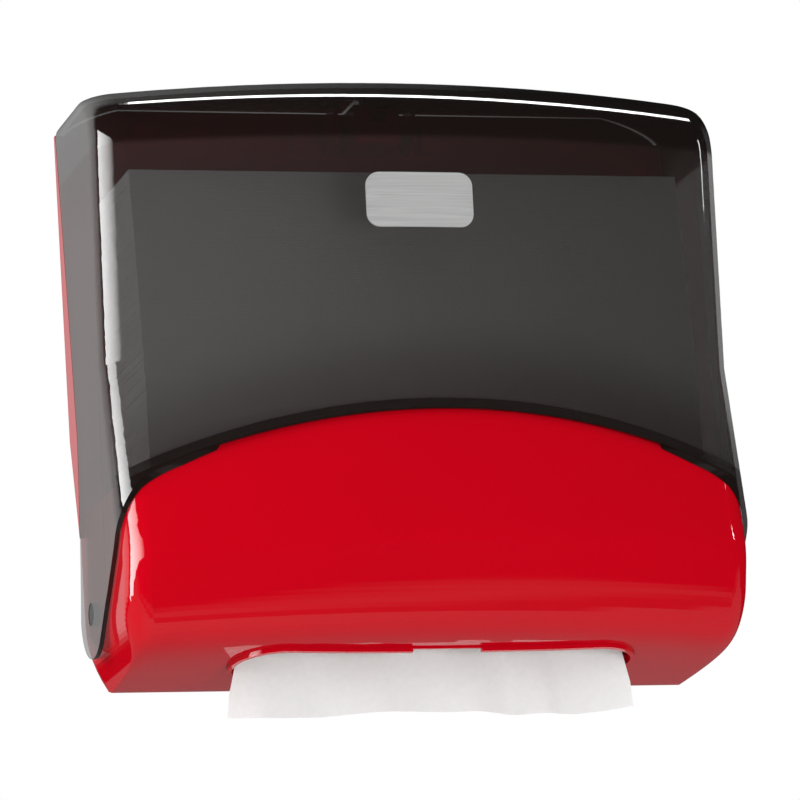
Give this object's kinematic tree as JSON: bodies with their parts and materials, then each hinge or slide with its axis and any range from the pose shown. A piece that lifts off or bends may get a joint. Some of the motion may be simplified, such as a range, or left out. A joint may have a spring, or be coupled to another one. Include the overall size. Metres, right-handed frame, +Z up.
{
  "type": "folded wiper dispenser",
  "caption": "Wall-mounted dispenser for folded paper wipers: glossy base with a swelling chin, smoke hinged cover, top release button, wiper pile and a hanging wiper.",
  "frame": {"origin": "on the wall face of the back plate, midway between the four wall screw holes", "axes": "+Z up, +Y into the wall, front faces -Y, +X to the right seen from the front"},
  "size_m": [0.4272, 0.165, 0.4288],
  "materials": {
    "red_plastic": "gloss",
    "smoke_plastic": "transparent smoke, gloss",
    "dark_plastic": "satin",
    "steel": "satin",
    "badge_metal": "satin",
    "wiper_paper": "matte"
  },
  "bodies": {
    "base": {"back_shell": "red_plastic", "chin_shell": "red_plastic", "mouth_liner": "red_plastic", "stack_tray": "dark_plastic", "guide_left": "dark_plastic", "guide_right": "dark_plastic", "hinge_pin_left": "dark_plastic", "hinge_pin_right": "dark_plastic", "lock_housing": "dark_plastic", "lock_cap": "dark_plastic", "latch_spring": "steel", "chin_screws": "steel", "tray_screws": "steel", "guide_screws": "steel", "lock_screws": "steel", "wiper_stack": "wiper_paper", "wiper_sheet": "wiper_paper"},
    "cover": {"cover": "smoke_plastic", "strike_block": "dark_plastic", "badge_plate": "badge_metal", "strike_screws": "steel"},
    "button": {"release_button": "dark_plastic", "latch_tongue": "steel"}
  },
  "joints": [
    {"name": "cover_swing", "type": "hinge", "parent": "base", "child": "cover", "pos_m": [0, -0.034, -0.154], "axis": [1, 0, 0], "range_deg": [0, 95]},
    {"name": "button_press", "type": "slide", "parent": "base", "child": "button", "axis": [0, 0, -1], "range_m": [0, 0.003], "stiffness_N_per_m": 400, "deforming": ["latch_spring"]}
  ]
}
